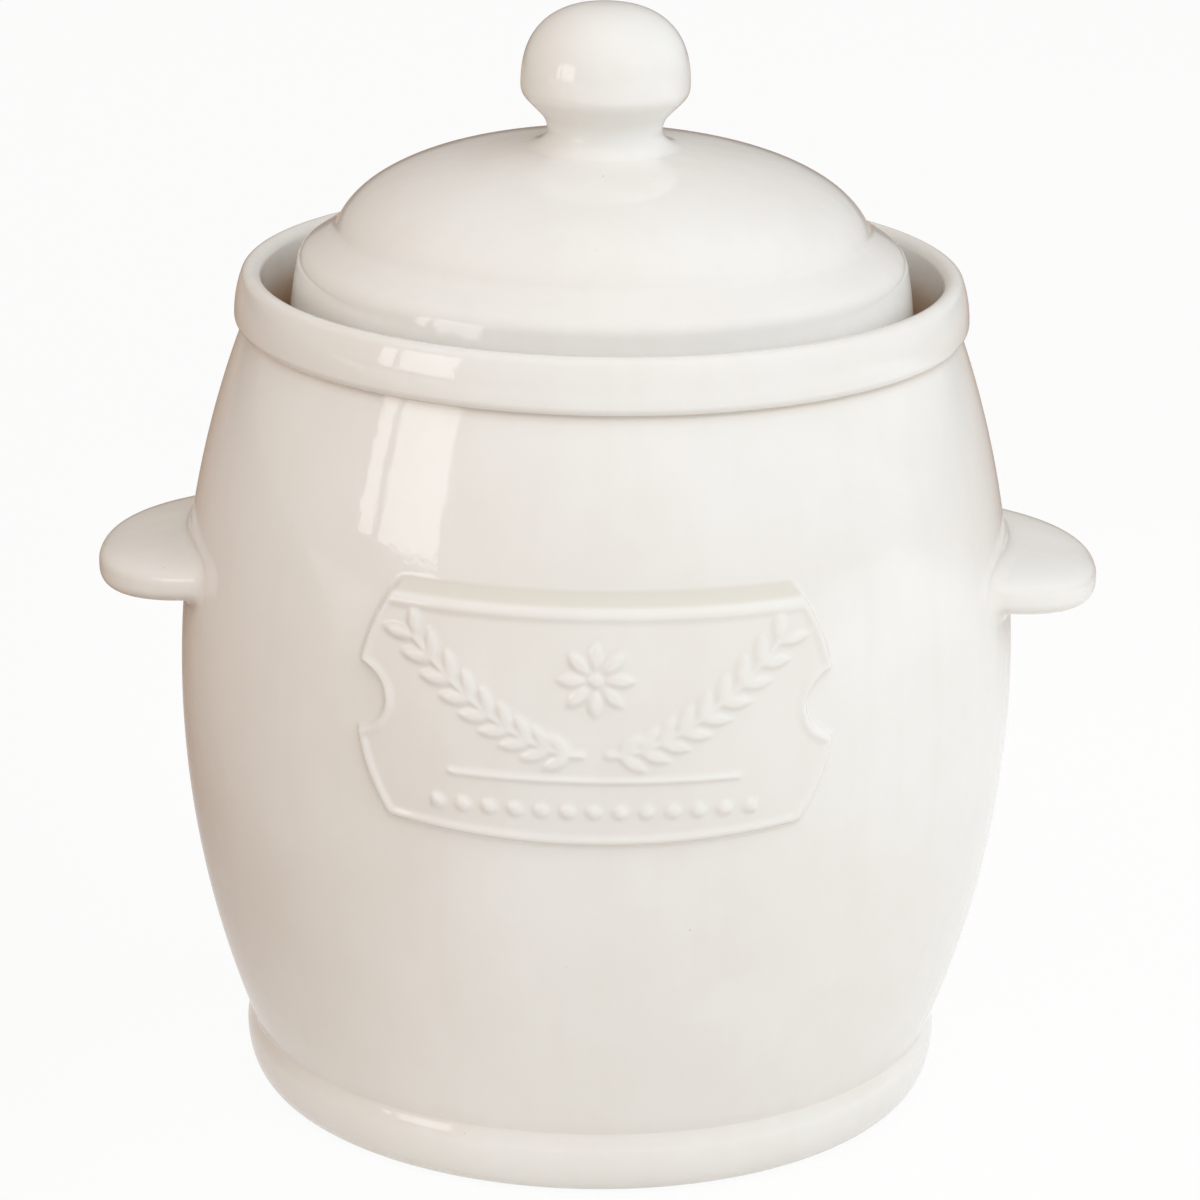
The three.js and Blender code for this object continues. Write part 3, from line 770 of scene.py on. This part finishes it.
# Height over the barrel: a panel that grows prouder upwards inside a bowed foot, bulging notched sides and a
# sloped top, with a raised ridge just inside its edge and soft ornament on its face
def plaqueHeight(x, z):
    arcX = np.abs(x) - plaque["halfWidth"] + plaque["sideArc"]
    sideways = plaque["sideArc"] - np.hypot(arcX, z - plaque["waist"])
    upwards = z - plaque["bottom"] - plaque["bow"] * (x / plaque["cornerX"]) ** 2
    notchX = plaque["halfWidth"] + plaque["notchOut"]
    fromNotch = np.hypot(np.abs(x) - notchX, z - plaque["waist"]) - plaque["notch"]
    edge = np.minimum.reduce([sideways, upwards, fromNotch])
    inward = np.minimum(edge, plaque["top"] - z)
    share = (z - plaque["bottom"]) / (plaque["top"] - plaque["bottom"])
    share = np.clip(share, 0, plaque["proudLimit"])
    proud = plaque["proudBottom"] + (plaque["proudTop"] - plaque["proudBottom"]) * share
    slope = np.clip((plaque["top"] + plaque["bevel"] - z) / plaque["bevel"], 0, 1)
    panel = proud * smoothStep(-plaque["edgeOut"], plaque["edge"], edge) * slope ** plaque["bevelPower"]
    fromRidge = (inward - plaque["ridgeInset"]) / plaque["ridgeHalf"]
    ridge = plaque["ridgeHeight"] * np.exp(-(fromRidge**4))
    relief = ornamentRelief(x, z) * (inward > plaque["ornamentInset"])
    return panel + ridge + plaque["ornament"] * relief, inward, edge, relief


# Each row is a closed loop at one place across the panel: up its front, then down inside the barrel's wall;
# the two end rows draw in to a point
def makePlaque():
    reach = plaque["halfWidth"] + plaque["margin"]
    x = np.linspace(reach, -reach, plaque["columns"])
    top = plaque["top"] + plaque["bevel"] + plaque["margin"]
    z = np.linspace(plaque["bottom"] - plaque["margin"], top, plaque["rows"])
    gridX, gridZ = np.meshgrid(x, z, indexing="ij")
    height, inward, edge, relief = plaqueHeight(gridX, gridZ)
    for _ in range(plaque["rounding"]):  # glaze fills the hollows and rounds the edges
        height = (height + np.roll(height, 1, 0) + np.roll(height, -1, 0)) / 3
        height = (height + np.roll(height, 1, 1) + np.roll(height, -1, 1)) / 3
    border = np.minimum.reduce([x[0] - gridX, gridX - x[-1], gridZ - z[0], z[-1] - gridZ])
    height = height + plaque["lift"] - plaque["sink"] * smoothStep(plaque["sinkSpan"], 0, border)
    backX, backZ = np.meshgrid(x, np.linspace(z[-1], z[0], plaque["backRows"]), indexing="ij")
    loopX, loopZ = np.hstack([gridX, backX]), np.hstack([gridZ, backZ])
    radius = barrelRadius(loopZ) + np.hstack([height, np.full(backX.shape, -plaque["backDepth"])])
    turn = np.arcsin(loopX / barrel["bellyRadius"]) - np.pi / 2
    grid = np.stack([radius * np.cos(turn), radius * np.sin(turn), loopZ], axis=-1)
    grid[[0, -1]] = grid[[0, -1]].mean(axis=1, keepdims=True)
    # painted shade, with thick glaze, in the hollow ledge above the panel's top
    above = gridZ - plaque["top"]
    soft = plaque["ledgeSoft"]
    ledge = smoothStep(0, 1, above) * smoothStep(plaque["bevel"] + soft, plaque["bevel"] - soft, above)
    ledge = ledge * smoothStep(-0.5, 1, edge)
    face = smoothStep(plaque["faceFrom"], plaque["faceFull"], inward) * smoothStep(0.5, 0.1, relief)
    thick = plaque["ledgeThickShade"] * ledge + plaque["faceThick"] * face
    mesh = meshFromGrid("labelPlaque", grid, thick=np.hstack([thick, np.zeros(backX.shape)]))
    placePiece("labelPlaque", mesh, "crock", "label_plaque", creamGlaze)


makePlaque()


# Weights keep their CAD shapes, in bare clay

for nodeName in ("left_weight", "right_weight"):
    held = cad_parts[nodeName].data.materials
    held.clear()
    held.append(bareClay)
print("weights in bare clay")


# Floor, light and camera

floorLook = dict(size=80.0, height=-0.0004, colour=(0.84, 0.81, 0.77, 1), glow=0.94)
shadeLook = dict(
    height=-0.0002, left=(-0.04, -0.22), front=(-0.65, -0.3), back=(0.2, 0.6),
    colour=(0.36, 0.25, 0.18, 1), roughness=0.9,
)


# A flat rectangle as wide as the floor, from a front edge to the floor's far edge, with its material's nodes
def makeSheet(name, front, height, materialName):
    half = floorLook["size"] / 2
    corners = [(-half, front, 0), (half, front, 0), (half, half, 0), (-half, half, 0)]
    mesh = bpy.data.meshes.new(name)
    mesh.from_pydata(corners, [], [(0, 1, 2, 3)])
    sheet = bpy.data.objects.new(name, mesh)
    sheet.location.z = height
    bpy.context.scene.collection.objects.link(sheet)
    material = bpy.data.materials.new(materialName)
    material.use_nodes = True
    mesh.materials.append(material)
    return sheet, material.node_tree


# Pale matt floor; to the eye and in gloss it is mostly plain white, and it keeps the shadow
def makeFloor():
    floor, tree = makeSheet("floor", -floorLook["size"] / 2, floorLook["height"], "paleFloor")
    tree.nodes.remove(tree.nodes["Principled BSDF"])
    path = addNode(tree, "ShaderNodeLightPath", (-900, 200))
    eyeRay, glossyRay = path.outputs["Is Camera Ray"], path.outputs["Is Glossy Ray"]
    seen = mathNode(tree, (-700, 200), "MAXIMUM", eyeRay, glossyRay)
    seen = mathNode(tree, (-500, 200), "MAXIMUM", seen, path.outputs["Is Transmission Ray"])
    share = mathNode(tree, (-300, 200), "MULTIPLY", seen, floorLook["glow"])
    matt = addNode(tree, "ShaderNodeBsdfDiffuse", (-500, 0), {"Color": floorLook["colour"]})
    white = addNode(tree, "ShaderNodeEmission", (-500, -150), {"Strength": 1.0})
    mixed = addNode(tree, "ShaderNodeMixShader", (-100, 0))
    tree.links.new(share, mixed.inputs[0])
    tree.links.new(matt.outputs[0], mixed.inputs[1])
    tree.links.new(white.outputs[0], mixed.inputs[2])
    tree.links.new(mixed.outputs[0], tree.nodes["Material Output"].inputs["Surface"])


# Warm dark board on the floor at the left and behind, kept from the eye: it darkens what the sides mirror. It
# fades in towards the left, and again towards the back
def makeShade():
    board, tree = makeSheet("shade", shadeLook["front"][0], shadeLook["height"], "shadeBoard")
    board.visible_camera = False
    board.visible_shadow = False
    place = addNode(tree, "ShaderNodeTexCoord", (-1100, 0))
    split = addNode(tree, "ShaderNodeSeparateXYZ", (-900, 0))
    tree.links.new(place.outputs["Object"], split.inputs[0])
    fades = []
    for label, axis, down in (("left", "X", 200), ("front", "Y", 0), ("back", "Y", -200)):
        low, high = shadeLook[label]
        fade = addNode(tree, "ShaderNodeMapRange", (-700, down), {"From Min": low, "From Max": high})
        fade.interpolation_type = "SMOOTHSTEP"
        tree.links.new(split.outputs[axis], fade.inputs["Value"])
        fades.append(fade.outputs[0])
    beside = mathNode(tree, (-450, 100), "MULTIPLY", fades[0], fades[1])
    shader = tree.nodes["Principled BSDF"]
    shader.inputs["Base Color"].default_value = shadeLook["colour"]
    shader.inputs["Roughness"].default_value = shadeLook["roughness"]
    tree.links.new(mathNode(tree, (-250, 0), "MAXIMUM", beside, fades[2]), shader.inputs["Alpha"])


makeFloor()
makeShade()

studio = dict(world=(0.345, 0.292, 0.254, 1), aimHeight=0.15)
panels = dict(
    soft=dict(azimuth=28, elevation=33, distance=1.7, size=(3.2, 1.2), power=14.2, colour=(0.9, 1.0, 1.09)),
    side=dict(azimuth=92, elevation=36, distance=1.7, size=(1.8, 1.8), power=12.3, colour=(0.9, 1.0, 1.09)),
    high=dict(azimuth=14, elevation=56, distance=1.6, size=(1.6, 1.6), power=6.8, colour=(0.96, 0.99, 1.0)),
    left=dict(azimuth=-76, elevation=34, distance=1.6, size=(1.2, 1.2), power=5.3, colour=(1.0, 0.9, 0.81)),
    back=dict(azimuth=182, elevation=11, distance=1.7, size=(1.8, 1.2), power=13, colour=(0.96, 1.0, 1.03)),
    window=dict(azimuth=-53, elevation=14.5, distance=1.5, size=(0.48, 0.5), power=2.1, mirrored=True),
    pane=dict(azimuth=-67, elevation=13, distance=1.5, size=(0.12, 0.4), power=0.45, mirrored=True),
)


# A panel on a ball round the crock's middle, facing it; azimuth runs to the right from the camera's side
def addPanel(name, azimuth, elevation, distance, size, power, colour=(1, 1, 1), mirrored=False):
    lamp = bpy.data.lights.new(name, "AREA")
    lamp.shape = "RECTANGLE"
    lamp.size, lamp.size_y = size
    lamp.energy = power
    lamp.color = colour
    panel = bpy.data.objects.new(name, lamp)
    a, e = math.radians(azimuth), math.radians(elevation)
    away = Vector((math.sin(a) * math.cos(e), -math.cos(a) * math.cos(e), math.sin(e)))
    panel.location = Vector((0, 0, studio["aimHeight"])) + away * distance
    panel.rotation_euler = away.to_track_quat("Z", "Y").to_euler()
    panel.visible_glossy = mirrored
    bpy.context.scene.collection.objects.link(panel)


world = bpy.data.worlds.new("studio")
world.use_nodes = True
world.node_tree.nodes["Background"].inputs["Color"].default_value = studio["world"]
bpy.context.scene.world = world
for panelName, settings in panels.items():
    addPanel(panelName, **settings)

view = dict(  # metres and degrees; focal, picture and axisAt in picture pixels
    distance=1.0854, height=0.4778, pitch=18.05, roll=0.95, focal=4505.2, picture=1200, axisAt=597, sensor=36,
)
eye = bpy.data.cameras.new("eye")
eye.sensor_width = view["sensor"]
eye.lens = view["focal"] / view["picture"] * eye.sensor_width
camera = bpy.data.objects.new("eye", eye)
camera.location = (0, -view["distance"], view["height"])
yaw = math.atan((view["axisAt"] - view["picture"] / 2) / view["focal"])
turnMatrix = Euler((math.radians(90 - view["pitch"]), 0, yaw), "XYZ").to_matrix()
camera.rotation_euler = (turnMatrix @ Euler((0, 0, math.radians(view["roll"]))).to_matrix()).to_euler()
bpy.context.scene.collection.objects.link(camera)
bpy.context.scene.camera = camera
bpy.context.scene.view_settings.view_transform = "Standard"
print("stage ready")
